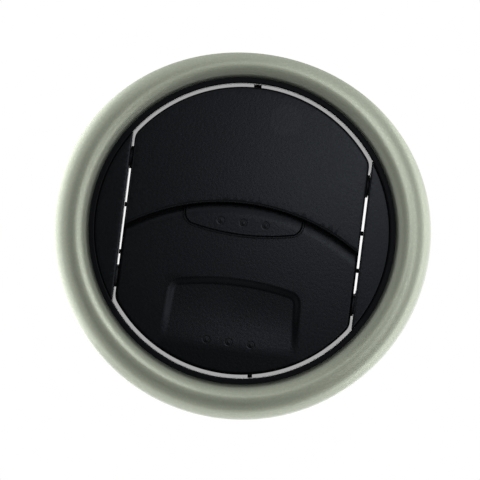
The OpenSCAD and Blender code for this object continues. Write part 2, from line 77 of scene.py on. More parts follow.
class VentSizes(bpy.types.PropertyGroup):
    """Sizes of the pieces that are rebuilt here. They follow the CAD model, within a millimetre."""

    core_r: length("Opening radius", "Radius of the opening in the retaining ring", 38.95)
    aperture_r: length("Bezel opening", "Radius of the bezel's inner edge", 40.5)
    crest_r: length("Crest radius", "Radius at which the bezel stands highest", 44.0)
    rim_r: length("Rim radius", "Radius of the bezel's outer edge", 50.0)
    crest_y: length("Crest depth", "Depth of the bezel's crest", -6.6)
    roll_y: length("Roll depth", "Depth at which the inner roll starts", -3.7)
    lip_y: length("Lip depth", "Depth of the retaining ring's front", -3.6)
    seat_y: length("Seat depth", "Depth of the retaining ring's back", -2.0)
    shell_t: length("Shell wall", "Wall of the bezel's rolled shell", 2.0)
    rim_edge: length("Rim edge", "Rounding of the bezel's rear edge", 0.3)
    sleeve_out: length("Sleeve radius", "Outer radius of the sleeve behind the bezel", 44.2)
    barrel_r: length("Barrel radius", "Outer radius of the barrel", 42.8)
    lip_edge: length("Lip rounding", "Rounding of the retaining ring's inner edge", 0.4)
    dash_lean: FloatProperty(
        name="Dash lean",
        description="Angle between the vent's face and the dash surface",
        default=math.radians(6.7),
        unit="ROTATION",
    )
    cheek_r: length("Cheek radius", "Radius of a cheek's round side", 38.65)
    cheek_lip: length("Cheek lip", "How far a cheek's face reaches past its round side", 0.29)
    cheek_x: length("Cheek side", "Distance of a cheek's straight side from the middle", 31.75)
    cheek_t: length("Cheek wall", "Thickness of a cheek's face", 1.2)
    web_y: length("Web depth", "Depth of the rotor's web behind the cheeks", 2.9)
    dome_r: length("Dome radius", "Radius of the shallow dome that the faces follow", 400.0)
    upper_y: length("Upper depth", "Depth of the upper vane's middle", -5.4)
    lower_y: length("Lower depth", "Depth of the lower vane's middle", -3.5)
    vane_t: length("Vane thickness", "Thickness of a vane's plate", 1.6)
    vane_edge: length("Vane rounding", "Rounding of the vanes' front edges", 0.75)
    vane_corner: length("Vane corners", "Rounding of the vanes' corners", 0.8)
    cheek_edge: length("Cheek rounding", "Rounding of the cheeks' front edges", 0.5)
    vane_r: length("Vane radius", "Radius of the vanes' round edges", 38.05)
    upper_half: length("Upper half width", "Half the width of the upper vane", 31.15)
    lower_half: length("Lower half width", "Half the width of the lower vane", 31.25)
    seam_r: length("Seam radius", "Radius of the seam's arc", 55.8)
    seam_top: length("Seam height", "Height of the seam's middle", 7.2)
    seam_fall: length("Seam fall", "How far the lower vane falls back towards the seam", 1.0)
    overlap: length("Overlap", "How far the lower vane reaches up behind the upper one", 2.2)
    pivot_rise: length("Pivot height", "Height of the upper pivots above the axis", 15.8)
    pivot_y: length("Pivot depth", "Depth of the pivots", 0.9)
    pin_root_x: length("Pin root", "Distance of the pins' inner ends from the middle", 23.75)
    pad_half: length("Pad half width", "Half the width of the grip pad", 16.2)
    pad_low: length("Pad low point", "Height of the pad's lowest point", -1.7)
    pad_rise: length("Pad rise", "Height of the pad above the vane", 0.5)
    pocket_half: length("Pocket half width", "Half the width of the thumb pocket", 17.9)
    pocket_top: length("Pocket top", "Height of the pocket's upper edge", -12.5)
    pocket_low: length("Pocket foot", "Height at which the pocket runs out", -32.0)
    pocket_depth: length("Pocket depth", "Depth of the pocket at its upper edge", 1.0)
    dot_pitch: length("Dot pitch", "Distance between two grip dots", 5.9)
    dot_r: length("Dot ball", "Radius of the ball that each dot is the top of", 1.0)


class VentColours(bpy.types.PropertyGroup):
    """Base colours of the finishes."""

    paint: colour("Bezel paint", "Pale grey-green satin paint", (0.50, 0.545, 0.435))
    satin: colour("Satin black", "Moulded black of the vanes and cheeks", (0.0038, 0.0040, 0.0047))
    gloss: colour("Gloss black", "Moulded black of the retaining ring", (0.0035, 0.0035, 0.0040))
    housing: colour("Housing black", "Plain moulded black of the fixed parts", (0.018, 0.018, 0.020))
    steel: colour("Steel", "Spring and pin steel", (0.55, 0.56, 0.58))
    acetal: colour("Acetal", "Natural acetal of the linkage", (0.70, 0.70, 0.65))
    silicone: colour("Silicone", "Matt silicone of the friction ring", (0.10, 0.10, 0.11))
    felt: colour("Felt", "Needled felt round the sleeve", (0.030, 0.030, 0.031))
    foam: colour("Foam", "Open-cell foam of the duct seal", (0.045, 0.045, 0.048))
    floor: colour("Floor", "Pale floor under the vent", (0.86, 0.86, 0.86))


class VentStage(bpy.types.PropertyGroup):
    """Camera, lamps and floor."""

    distance: FloatProperty(name="Camera distance", description="Distance of the camera", default=0.95, unit="LENGTH")
    frame_width: length("Frame width", "Width of the view at the vent's face", 126.34)
    face_y: length("Face depth", "Depth of the plane that the view is measured on", -5.0)
    roll: FloatProperty(
        name="Camera roll", description="Turn of the camera about its view", default=math.radians(7.1), unit="ROTATION"
    )
    shift_right: length("Shift right", "How far right of the middle the vent shows", 0.58)
    shift_up: length("Shift up", "How far above the middle the vent shows", 2.40)
    key_power: FloatProperty(name="Key lamp", description="Power of the key lamp", default=0.80, unit="POWER")
    fill_power: FloatProperty(name="Fill lamp", description="Power of the fill lamp", default=0.50, unit="POWER")
    glow: FloatProperty(name="Surroundings", description="Strength of the light from all around", default=1.0, min=0)
    # Grey of the painted shadow seen through the gap round the vanes
    painted_shadow_grey: FloatProperty(
        name="Painted shadow grey", description="How pale the view through the gap round the vanes shows", default=0.38, min=0, max=1
    )
    floor_z: length("Floor height", "Height of the floor", -350.0)


# Shader expressions


class Wire:
    """A shader socket that Python's operators join to Math nodes."""

    def __init__(self, shader, socket):
        self.shader = shader
        self.socket = socket

    def _math(self, operation, first, second):
        return self.shader.node("ShaderNodeMath", {"operation": operation}, {0: first, 1: second})

    def __add__(self, other):
        return self._math("ADD", self, other)

    __radd__ = __add__

    def __sub__(self, other):
        return self._math("SUBTRACT", self, other)

    def __rsub__(self, other):
        return self._math("SUBTRACT", other, self)

    def __mul__(self, other):
        return self._math("MULTIPLY", self, other)

    __rmul__ = __mul__

    def __truediv__(self, other):
        return self._math("DIVIDE", self, other)

    def __rtruediv__(self, other):
        return self._math("DIVIDE", other, self)

    def __pow__(self, other):
        return self._math("POWER", self, other)

    def __gt__(self, other):
        return self._math("GREATER_THAN", self, other)


class Shader:
    """Builds the nodes of one material or of the world."""

    def __init__(self, tree):
        self.tree = tree
        tree.nodes.clear()

    def node(self, kind, settings=None, sockets=None, out=0):
        """One node: its settings, then its sockets' values or links. Returns the named output."""
        made = self.tree.nodes.new(kind)
        for key, value in (settings or {}).items():
            if key == "stops":
                ramp = made.color_ramp.elements
                while len(ramp) < len(value):
                    ramp.new(0.5)
                for stop, (place, shade) in zip(ramp, value):
                    stop.position = place
                    stop.color = (*shade, 1) if isinstance(shade, tuple) else (shade, shade, shade, 1)
            else:
                setattr(made, key, value)
        for key, value in (sockets or {}).items():
            socket = made.inputs[key]
            if isinstance(value, Wire):
                self.tree.links.new(value.socket, socket)
            elif hasattr(socket.default_value, "__len__") and len(socket.default_value) == 4:
                socket.default_value = (*value, 1) if len(value) == 3 else value
            else:
                socket.default_value = value
        return Wire(self, made.outputs[out]) if made.outputs else None

    def place(self):
        """The point on the object, in metres."""
        return self.node("ShaderNodeTexCoord", out="Object")

    def stretched(self, vector, scale):
        return self.node("ShaderNodeVectorMath", {"operation": "MULTIPLY"}, {0: vector, 1: scale})

    def noise(self, vector, scale, detail=3.0, rough=0.5):
        return self.node(
            "ShaderNodeTexNoise", {}, {"Vector": vector, "Scale": scale, "Detail": detail, "Roughness": rough}
        )

    def cells(self, vector, scale, feature="F1", out="Distance"):
        return self.node("ShaderNodeTexVoronoi", {"feature": feature}, {"Vector": vector, "Scale": scale}, out)

    def ramp(self, value, low, high, start=0.0, end=1.0):
        """Runs smoothly from start to end while value runs from low to high."""
        return self.node(
            "ShaderNodeMapRange",
            {"interpolation_type": "SMOOTHSTEP"},
            {"Value": value, "From Min": low, "From Max": high, "To Min": start, "To Max": end},
        )

    def blend(self, factor, first, second):
        """Mixes two colours."""
        return self.node(
            "ShaderNodeMix", {"data_type": "RGBA"}, {"Factor": factor, 6: first, 7: second}, out=2
        )

    def bump(self, height, strength, distance, normal=None):
        sockets = {"Height": height, "Strength": strength, "Distance": distance}
        if normal is not None:
            sockets["Normal"] = normal
        return self.node("ShaderNodeBump", {}, sockets)

    def surface(self, shader_out):
        self.node("ShaderNodeOutputMaterial", {}, {"Surface": shader_out})


def finish_material(name, recipe):
    """A new material whose recipe gives the sockets of its Principled shader."""
    material = bpy.data.materials.new(name)
    material.use_nodes = True
    shader = Shader(material.node_tree)
    sockets = recipe(shader)
    shader.surface(shader.node("ShaderNodeBsdfPrincipled", {}, sockets))
    return material


def scaled(rgb, factor):
    return tuple(min(1.0, channel * factor) for channel in rgb)


def paint_recipe(base):
    def recipe(s):
        place = s.place()
        fleck = s.cells(place, 5200.0, out="Color")
        fleck = s.node("ShaderNodeSeparateColor", {}, {"Color": fleck})
        sparkle = s.ramp(fleck, 0.90, 0.96)
        cloud = s.noise(place, 60.0, 3.0)
        speckle = s.noise(place, 3300.0, 2.0)
        tone = s.blend(s.ramp(cloud, 0.35, 0.65), scaled(base, 0.975), scaled(base, 1.02))
        tone = s.blend(s.ramp(speckle, 0.3, 0.7) * 0.5, tone, scaled(base, 1.09))
        tone = s.blend(sparkle * 0.35, tone, scaled(base, 1.45))
        grain = s.noise(place, 1800.0, 2.0)
        tone = s.blend(s.ramp(grain, 0.35, 0.65) * 0.5, tone, scaled(base, 0.90))
        # Darker towards the bezel's inner edge: painted shade on the inner roll, where it turns into the opening
        flat = s.stretched(place, (1.0, 0.0, 1.0))
        radius = s.node("ShaderNodeVectorMath", {"operation": "LENGTH"}, {0: flat}, "Value")
        tone = s.blend(s.ramp(radius, 40.3 * MM, 43.2 * MM), scaled(base, 0.28), tone)
        peel = s.noise(place, 700.0, 2.0)
        normal = s.bump(peel * 0.7 + speckle * 0.3, 0.22, 0.00004)
        return {
            "Base Color": tone,
            "Roughness": 0.34 + 0.10 * speckle,
            "Metallic": 0.55 + sparkle * 0.4,
            "Normal": normal,
            "IOR": 1.5,
            "Coat Weight": 0.5,
            "Coat Roughness": 0.2,
        }

    return recipe


def black_recipe(base, rough, grain, depth, shine, marks=(), pocket=None):
    """Moulded black plastic with a fine grain; marks are (x, z, radius) of faint lighter round discs.

    pocket is (half width, top) in millimetres of an area below the top that gets painted shade, darkened towards black.
    """

    def recipe(s):
        place = s.place()
        fine = s.noise(place, grain, 2.0, 0.6)
        pits = s.cells(place, grain * 0.55)
        cloud = s.noise(place, 45.0, 3.0)
        tone = s.blend(s.ramp(fine, 0.3, 0.7), scaled(base, 0.86), scaled(base, 1.16))
        tone = s.blend(s.ramp(cloud, 0.35, 0.7) * 0.5, tone, scaled(base, 1.15))
        scuff = s.noise(s.stretched(place, (900.0, 900.0, 140.0)), 1.0, 4.0, 0.7)
        scuff = s.ramp(scuff, 0.66, 0.74)
        tone = s.blend(scuff * 0.12, tone, scaled(base, 1.9))
        gloss = rough + 0.07 * cloud - 0.035 + 0.05 * fine
        coarse = s.noise(place, 1500.0, 2.0)
        gloss = gloss + 0.12 * coarse - 0.03
        tone = s.blend(s.ramp(coarse, 0.35, 0.65) * 0.5, tone, scaled(base, 1.5))
        height = fine * 0.6 + pits * 0.4 + coarse * 9.0
        for x, z, radius in marks:
            away = s.node("ShaderNodeVectorMath", {"operation": "MULTIPLY"}, {0: place, 1: (1.0, 0.0, 1.0)})
            away = s.node(
                "ShaderNodeVectorMath", {"operation": "DISTANCE"}, {0: away, 1: (x * MM, 0.0, z * MM)}, "Value"
            )
            disc = s.ramp(away, radius * MM, (radius - 0.5) * MM)
            tone = s.blend(disc, tone, scaled(base, 2.4))
        # Painted shade in the thumb pocket: below its top edge the tone is darkened towards black
        if pocket:
            half, top = pocket
            x = s.node("ShaderNodeSeparateXYZ", {}, {0: place}, "X")
            z = s.node("ShaderNodeSeparateXYZ", {}, {0: place}, "Z")
            inside = s.ramp(x, -half * MM, (2 - half) * MM) * s.ramp(x, half * MM, (half - 2) * MM)
            tone = s.blend(inside * s.ramp(z, top * MM, (top - 2) * MM) * 0.7, tone, (0.0, 0.0, 0.0))
        return {
            "Base Color": tone,
            "Roughness": gloss,
            "Normal": s.bump(height, 0.30, depth),
            "IOR": 1.48,
            "Specular IOR Level": shine,
            "Specular Tint": (0.78, 0.86, 1.0),
        }

    return recipe


def steel_recipe(base, along):
    """Steel with a fine drawn grain; along is the scale of that grain on each axis."""

    def recipe(s):
        place = s.place()
        drawn = s.noise(s.stretched(place, along), 1.0, 3.0, 0.6)
        tarnish = s.noise(place, 260.0, 3.0)
        tone = s.blend(s.ramp(drawn, 0.3, 0.7), scaled(base, 0.85), scaled(base, 1.12))
        tone = s.blend(s.ramp(tarnish, 0.55, 0.75) * 0.35, tone, (0.36, 0.34, 0.30))
        return {
            "Base Color": tone,
            "Metallic": 1.0,
            "Roughness": 0.26 + 0.16 * drawn + 0.10 * tarnish,
            "Normal": s.bump(drawn, 0.25, 0.00002),
        }

    return recipe


def acetal_recipe(base):
    def recipe(s):
        place = s.place()
        cloud = s.noise(place, 300.0, 3.0)
        fine = s.noise(place, 4500.0, 2.0)
        tone = s.blend(s.ramp(cloud, 0.3, 0.7), scaled(base, 0.92), scaled(base, 1.05))
        return {
            "Base Color": tone,
            "Roughness": 0.38 + 0.12 * cloud,
            "Normal": s.bump(fine, 0.2, 0.00002),
        }

    return recipe


def soft_recipe(base, pore, depth, rough):
    """Foam, felt or silicone: pores and fibres of the given scale."""

    def recipe(s):
        place = s.place()
        pores = s.cells(place, pore)
        fibre = s.noise(place, pore * 1.8, 4.0, 0.7)
        tone = s.blend(s.ramp(pores, 0.15, 0.6), scaled(base, 0.55), scaled(base, 1.25))
        tone = s.blend(s.ramp(fibre, 0.5, 0.75) * 0.5, tone, scaled(base, 1.8))
        return {
            "Base Color": tone,
            "Roughness": rough + 0.08 * fibre,
            "Normal": s.bump(pores * 0.7 + fibre * 0.3, 0.6, depth),
        }

    return recipe


# Shapes


def sag(sizes, r):
    """How far the dome falls back at radius r."""
    return sizes.dome_r - np.sqrt(sizes.dome_r**2 - r**2)


def ray_angles(edge, centre, step):
    """Angles round centre at which the closed curve edge = 0 is sampled about every step."""
    fine = np.linspace(0, TURN, 2880, endpoint=False)
    points = curve_at(edge, centre, fine, 0.0)
    hops = np.linalg.norm(np.roll(points, -1, 0) - points, axis=1)
    run = np.concatenate([[0], np.cumsum(hops)])
    count = max(16, int(round(run[-1] / step)))
    wanted = np.linspace(0, run[-1], count, endpoint=False)
    return np.interp(wanted, run, np.append(fine, TURN))


def curve_at(edge, centre, angles, level):
    """Points on the rays at which the signed distance edge(x, z) reaches level."""
    cx, cz = centre
    low = np.zeros(len(angles))
    high = np.full(len(angles), 90 * MM)
    for _ in range(34):
        middle = (low + high) / 2
        inside = edge(cx + middle * np.cos(angles), cz + middle * np.sin(angles)) < level
        low = np.where(inside, middle, low)
        high = np.where(inside, high, middle)
    return np.stack([cx + low * np.cos(angles), cz + low * np.sin(angles)], 1)


def loop_curve(edge, centre, step, level=0.0):
    return curve_at(edge, centre, ray_angles(lambda x, z: edge(x, z) - level, centre, step), level)


def circle_points(x, z, r, count):
    turn = np.linspace(0, TURN, count, endpoint=False)
    return np.stack([x + r * np.cos(turn), z + r * np.sin(turn)], 1)


def join_rings(bm, first, second):
    """Quads between two rings of the same number of vertices."""
    for i in range(len(first)):
        j = (i + 1) % len(first)
        bm.faces.new((first[i], first[j], second[j], second[i]))


def fill_plate(bm, ring_points, ring_verts, depth, curves, grid, away):
    """Fills a ring with triangles that follow the curves; depth(x, z) gives each point's y."""
    points = [tuple(p) for p in ring_points]
    edges = [(i, (i + 1) % len(points)) for i in range(len(points))]
    for curve in curves:
        start = len(points)
        points += [tuple(p) for p in curve]
        edges += [(start + i, start + (i + 1) % len(curve)) for i in range(len(curve))]
    low, high = np.min(ring_points, 0), np.max(ring_points, 0)
    xs = np.arange(low[0] + grid / 2, high[0], grid)
    zs = np.arange(low[1] + grid / 2, high[1], grid)
    spots = np.array([(x + (k % 2) * grid / 2, z) for k, z in enumerate(zs) for x in xs])
    spots = spots[away(spots[:, 0], spots[:, 1])]
    points += [tuple(p) for p in spots]
    flat, _, faces, origin, _, _ = delaunay_2d_cdt([Vector(p) for p in points], edges, [], 1, 4e-6)
    heights = depth(np.array([p[0] for p in flat]), np.array([p[1] for p in flat]))
    made = []
    for place, y, sources in zip(flat, heights, origin):
        known = [k for k in sources if k < len(ring_verts)]
        made.append(ring_verts[known[0]] if known else bm.verts.new((place[0], y, place[1])))
    for face in faces:
        corners = [made[k] for k in face]
        if len(set(corners)) == len(corners):
            bm.faces.new(corners)


def domed_plate(bm, edge, centre, front, back, rounding, step, grid, front_curves=(), back_curves=(), away=None):
    """A closed plate between two surfaces, with its rim rounded on both sides."""
    angles = ray_angles(edge, centre, step)
    free = away or (lambda x, z: np.full(len(x), True))
    sides = []
    for surface, sign, size in ((front, 1, rounding), (back, -1, rounding * 0.6)):
        rings = []
        for turn in np.radians([90, 67.5, 45, 22.5, 0]):
            inset = size * (1 - math.sin(turn))
            points = curve_at(edge, centre, angles, -inset)
            depth = surface(points[:, 0], points[:, 1]) + sign * size * (1 - math.cos(turn))
            rings.append((points, [bm.verts.new((p[0], y, p[1])) for p, y in zip(points, depth)]))
        for (_, outer), (_, inner) in zip(rings, rings[1:]):
            join_rings(bm, outer, inner)
        sides.append(rings)
    join_rings(bm, sides[0][0][1], sides[1][0][1])
    margin = rounding + grid * 0.3
    for rings, surface, curves, clear in (
        (sides[0], front, front_curves, free),
        (sides[1], back, back_curves, lambda x, z: np.full(len(x), True)),
    ):
        points, verts = rings[-1]
        fill_plate(
            bm, points, verts, surface, curves, grid, lambda x, z: (edge(x, z) < -margin) & clear(x, z)
        )


def revolve(bm, sections):
    """Joins closed sections, one list of (r, y) for each angle, into a ring round the vent's axis."""
    count = len(sections)
    rings = []
    for k, section in enumerate(sections):
        a = TURN * k / count
        rings.append([bm.verts.new((r * math.cos(a), y, r * math.sin(a))) for r, y in section])
    for k in range(count):
        join_rings(bm, rings[k], rings[(k + 1) % count])


def rounded_box_section(r0, r1, y0, y1, size, steps=3):
    """A closed rectangle in (r, y) with rounded corners."""
    section = []
    for cr, cy, start in ((r1 - size, y0 + size, -90), (r1 - size, y1 - size, 0),
                          (r0 + size, y1 - size, 90), (r0 + size, y0 + size, 180)):
        for k in range(steps + 1):
            a = math.radians(start + 90 * k / steps)
            section.append((cr + size * math.cos(a), cy + size * math.sin(a)))
    return section


def lay_rod(bm, r, x0, x1, y, z, chamfer, sides=40):
    """A round bar along x with chamfered ends."""
    stations = [(x0, r - chamfer), (x0 + chamfer, r), (x1 - chamfer, r), (x1, r - chamfer)]
    rings = []
    for x, radius in stations:
        rings.append([
            bm.verts.new((x, y + radius * math.cos(TURN * k / sides), z + radius * math.sin(TURN * k / sides)))
            for k in range(sides)
        ])
    for first, second in zip(rings, rings[1:]):
        join_rings(bm, first, second)
    bm.faces.new(rings[0])
    bm.faces.new(rings[-1])


def lay_block(bm, low, high, chamfer):
    """A block with chamfered edges."""
    size = [high[k] - low[k] for k in range(3)]
    middle = [(high[k] + low[k]) / 2 for k in range(3)]
    made = bmesh.ops.create_cube(bm, size=1.0, matrix=Matrix.Translation(middle) @ Matrix.Diagonal((*size, 1)))
    edges = list({edge for vert in made["verts"] for edge in vert.link_edges})
    bmesh.ops.bevel(bm, geom=edges, offset=chamfer, segments=2, profile=0.7, affect="EDGES")


def lay_strip(bm, x, half, stations, front, back):
    """An upright strip at x whose front and back depths follow the stations' heights."""
    rings = []
    for z in stations:
        y0, y1 = front(z), back(z)
        rings.append([bm.verts.new((x + s * half, y, z)) for s, y in ((-1, y0), (1, y0), (1, y1), (-1, y1))])
    for first, second in zip(rings, rings[1:]):
        join_rings(bm, first, second)
    bm.faces.new(rings[0])
    bm.faces.new(rings[-1])


def add_piece(name, bm, body, material, replaced=(), sharp=38):
    """Turns a built mesh into a piece of the vent that rides on a body."""
    bmesh.ops.recalc_face_normals(bm, faces=bm.faces)
    mesh = bpy.data.meshes.new(name)
    bm.to_mesh(mesh)
    bm.free()
    mesh.shade_smooth()
    mesh.set_sharp_from_angle(angle=math.radians(sharp))
    mesh.materials.append(material)
    piece = bpy.data.objects.new(name, mesh)
    bpy.context.scene.collection.objects.link(piece)
    even = piece.modifiers.new("even_shading", "WEIGHTED_NORMAL")
    even.keep_sharp = True
    even.weight = 60
    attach(piece, body)
    if replaced:
        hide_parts(*replaced)
    return piece


def refinish(node, material):
    """Gives a CAD node that keeps its shape its finish."""
    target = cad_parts[node]
    target.data.materials.clear()
    target.data.materials.append(material)


def materials(scene):
    """The finishes, made once."""
    c = scene.vent_colours
    if "open_foam" in bpy.data.materials:
        return bpy.data.materials
    for name, recipe in (
        ("trim_paint", paint_recipe(tuple(c.paint))),
        ("gloss_black", black_recipe(tuple(c.gloss), 0.30, 5200.0, 0.000006, 0.10)),
        ("satin_black", black_recipe(tuple(c.satin), 0.28, 7200.0, 0.00001, 0.28)),
        ("upper_satin", black_recipe(tuple(c.satin), 0.28, 7200.0, 0.00001, 0.28, ((7.9, 30.3, 4.4),))),
        # The lower vane's finish carries the painted shade of its thumb pocket
        ("lower_satin", black_recipe(tuple(c.satin), 0.28, 7200.0, 0.00001, 0.28, ((-4.2, -20.4, 4.6),), (19.0, -12.5))),
        ("housing_black", black_recipe(tuple(c.housing), 0.48, 4200.0, 0.00002, 0.35)),
        ("washer_black", black_recipe(tuple(c.housing), 0.50, 6000.0, 0.00002, 0.30)),
        ("clip_steel", steel_recipe(tuple(c.steel), (500.0, 9000.0, 500.0))),
        ("pin_steel", steel_recipe(tuple(c.steel), (300.0, 9000.0, 9000.0))),
        ("natural_acetal", acetal_recipe(tuple(c.acetal))),
        ("matt_silicone", soft_recipe(tuple(c.silicone), 5200.0, 0.00001, 0.62)),
        ("needled_felt", soft_recipe(tuple(c.felt), 3600.0, 0.00006, 0.90)),
        ("open_foam", soft_recipe(tuple(c.foam), 1300.0, 0.00018, 0.88)),
    ):
        finish_material(name, recipe)
    return bpy.data.materials


# Pieces


class VENT_OT_bezel(bpy.types.Operator):
    """Builds the painted trim ring: inner roll, crest, outer roll and rear edge cut to the dash surface"""

    bl_idname = "vent.bezel"
    bl_label = "Bezel"

    def execute(self, context):
        s = context.scene.vent_sizes
        slope = math.tan(s.dash_lean)
        outer_a, outer_b = s.rim_r - s.crest_r, -s.crest_y
        count = 288
        sections = []
        for k in range(count):
            up = math.sin(TURN * k / count) * slope

            def shell(t, wall=0.0):
                """Point on the outer roll: t 0 at the crest, 1 where the skirt starts, more down the skirt."""
                a = math.radians(90 * min(t, 1))
                return (
                    s.crest_r + (outer_a - wall) * math.sin(a),
                    -(outer_b - wall) * math.cos(a) + max(t - 1, 0) * outer_a,
                )

            low, high = 0.0, 3.0
            for _ in range(40):
                t = (low + high) / 2
                r, y = shell(t)
                if y < -r * up - s.rim_edge:
                    low = t
                else:
                    high = t
            t_end = low
            section = []
            for j in range(15):
                a = math.radians(90 * j / 14)
                section.append((
                    s.crest_r - (s.crest_r - s.aperture_r) * math.cos(a),
                    s.roll_y + (s.crest_y - s.roll_y) * math.sin(a),
                ))
            for j in range(1, 31):
                section.append(shell(t_end * j / 30))
            r_end = section[-1][0]
            tilt = math.radians(90 * min(t_end, 1))
            step_in = s.rim_edge * (0.35 + 0.65 * math.sin(tilt))
            section.append((r_end - step_in * 0.12, section[-1][1] + s.rim_edge * 0.62))
            section.append((r_end - step_in * 0.75, -(r_end - step_in) * up))
            inner_r = max(r_end - s.shell_t, s.sleeve_out + 0.1 * MM)
            section.append((inner_r, -inner_r * up))
            for j in range(1, 9):
                r = inner_r + (s.sleeve_out - inner_r) * j / 8
                span = max(0.0, 1 - ((r - s.crest_r) / (outer_a - s.shell_t)) ** 2)
                depth = -(outer_b - s.shell_t) * math.sqrt(span)
                section.append((r, min(depth, -r * up)))
            section.append((s.sleeve_out, s.lip_y))
            section.append((s.aperture_r, s.lip_y))
            sections.append(section)
        bm = bmesh.new()
        revolve(bm, sections)
        add_piece("bezel_shell", bm, "housing", materials(context.scene)["trim_paint"], ("bezel",))
        return {"FINISHED"}


class VENT_OT_retaining_ring(bpy.types.Operator):
    """Builds the thin black ring inside the bezel, with its rounded inner lip"""

    bl_idname = "vent.retaining_ring"
    bl_label = "Retaining ring"

    def execute(self, context):
        s = context.scene.vent_sizes
        size = s.lip_edge
        section = [
            (s.core_r + size - size * math.sin(a), s.lip_y + size - size * math.cos(a))
            for a in np.radians(np.linspace(0, 90, 9))
        ]
        section += [(s.core_r, s.seat_y - 0.1 * MM), (s.core_r + 0.1 * MM, s.seat_y)]
        section += [(s.barrel_r - 0.1 * MM, s.seat_y), (s.barrel_r, s.seat_y - 0.1 * MM)]
        section += [(s.barrel_r, s.lip_y + 0.1 * MM), (s.barrel_r - 0.1 * MM, s.lip_y)]
        bm = bmesh.new()
        revolve(bm, [section] * 288)
        add_piece(
            "lip_ring", bm, "housing", materials(context.scene)["gloss_black"], ("retaining_ring",)
        )
        return {"FINISHED"}


class VENT_OT_cheeks(bpy.types.Operator):
    """Builds the two D-shaped cheeks with their rims and pegs"""

    bl_idname = "vent.cheeks"
    bl_label = "Cheeks"

    def execute(self, context):
        s = context.scene.vent_sizes
        finish = materials(context.scene)["satin_black"]

        def edge(x, z):
            return np.maximum(np.hypot(x, z) - s.cheek_r - s.cheek_lip, s.cheek_x - x)

        def front(x, z):
            return s.upper_y + sag(s, np.hypot(x, z))

        def back(x, z):
            return front(x, z) + s.cheek_t

        for name, side in (("right_cheek", 1), ("left_cheek", -1)):
            bm = bmesh.new()
            domed_plate(bm, edge, (34.6 * MM, 0.0), front, back, s.cheek_edge, 0.45 * MM, 1.6 * MM)
            face_y = s.upper_y + float(sag(s, s.cheek_r)) + 0.5 * s.cheek_t
            rim = []
            for z in np.linspace(-12.5, 12.5, 41) * MM:
                outer = math.sqrt(s.cheek_r**2 - z**2) - 0.03 * MM
                inner = math.sqrt((s.cheek_r - 1.1 * MM) ** 2 - z**2)
                rim.append([bm.verts.new(p) for p in (
                    (inner, face_y, z), (outer, face_y, z),
                    (outer, s.web_y - 0.15 * MM, z), (outer - 0.15 * MM, s.web_y, z),
                    (inner + 0.15 * MM, s.web_y, z), (inner, s.web_y - 0.15 * MM, z),
                )])
            for first, second in zip(rim, rim[1:]):
                join_rings(bm, first, second)
            bm.faces.new(rim[0])
            bm.faces.new(rim[-1])
            for z in (-7 * MM, 7 * MM):
                rings = []
                for r, y in ((1.0, face_y), (1.0, 4.85 * MM), (0.75, 5.1 * MM)):
                    rings.append([
                        bm.verts.new((px, y, pz))
                        for px, pz in circle_points(s.cheek_r - 2.2 * MM, z, r * MM, 24)
                    ])
                for first, second in zip(rings, rings[1:]):
                    join_rings(bm, first, second)
                bm.faces.new(rings[0])
                bm.faces.new(rings[-1])
            if side < 0:
                bmesh.ops.scale(bm, vec=(-1, 1, 1), verts=bm.verts)
            add_piece(name + "_cover", bm, "core", finish, (name,))
        return {"FINISHED"}


def soft_max(a, b, k):
    """The larger of two distances, with the corner between them rounded by k."""
    h = np.maximum(k - np.abs(a - b), 0) / k
    return np.maximum(a, b) + h * h * k / 4


def vane_bosses(bm, s, half, z, plate_y):
    """The two bosses on a vane's back and the webs that carry them."""
    inner = s.pin_root_x - 1.5 * MM
    for x0, x1 in ((-half, -inner), (inner, half)):
        lay_rod(bm, 2.5 * MM, x0, x1, s.pivot_y, z, 0.2 * MM)
        lay_block(bm, (x0 + 0.05 * MM, plate_y, z - 1.2 * MM), (x1 - 0.05 * MM, s.pivot_y, z + 1.2 * MM), 0.15 * MM)


class VENT_OT_upper_vane(bpy.types.Operator):
    """Builds the upper vane: domed plate with rounded edges, back ribs and pivot bosses"""

    bl_idname = "vent.upper_vane"
    bl_label = "Upper vane"

    def execute(self, context):
        s = context.scene.vent_sizes

        def edge(x, z):
            band = soft_max(np.hypot(x, z) - s.vane_r, np.abs(x) - s.upper_half, s.vane_corner)
            seam = s.seam_r - np.hypot(x, z - (s.seam_top - s.seam_r))
            return soft_max(band, seam, 0.5 * MM)

        def front(x, z):
            return s.upper_y + sag(s, np.hypot(x, z))

        def back(x, z):
            return front(x, z) + s.vane_t

        bm = bmesh.new()
        domed_plate(bm, edge, (0.0, 20 * MM), front, back, s.vane_edge, 0.5 * MM, 2.2 * MM)
        plate_y = s.upper_y + float(sag(s, s.upper_half)) + s.vane_t / 2
        vane_bosses(bm, s, s.upper_half, s.pivot_rise, plate_y)
        for x in (-10 * MM, 10 * MM):
            stations = np.linspace(s.seam_top + s.overlap + 2 * MM, s.vane_r - 6 * MM, 16)
            lay_strip(
                bm, x, 0.5 * MM, stations,
                lambda z: float(back(x, z)) - 0.2 * MM, lambda z: float(back(x, z)) + 1.3 * MM,
            )
        add_piece(
            "upper_shutter", bm, "upper_vane_set",
            materials(context.scene)["upper_satin"], ("upper_vane",),
        )
        return {"FINISHED"}


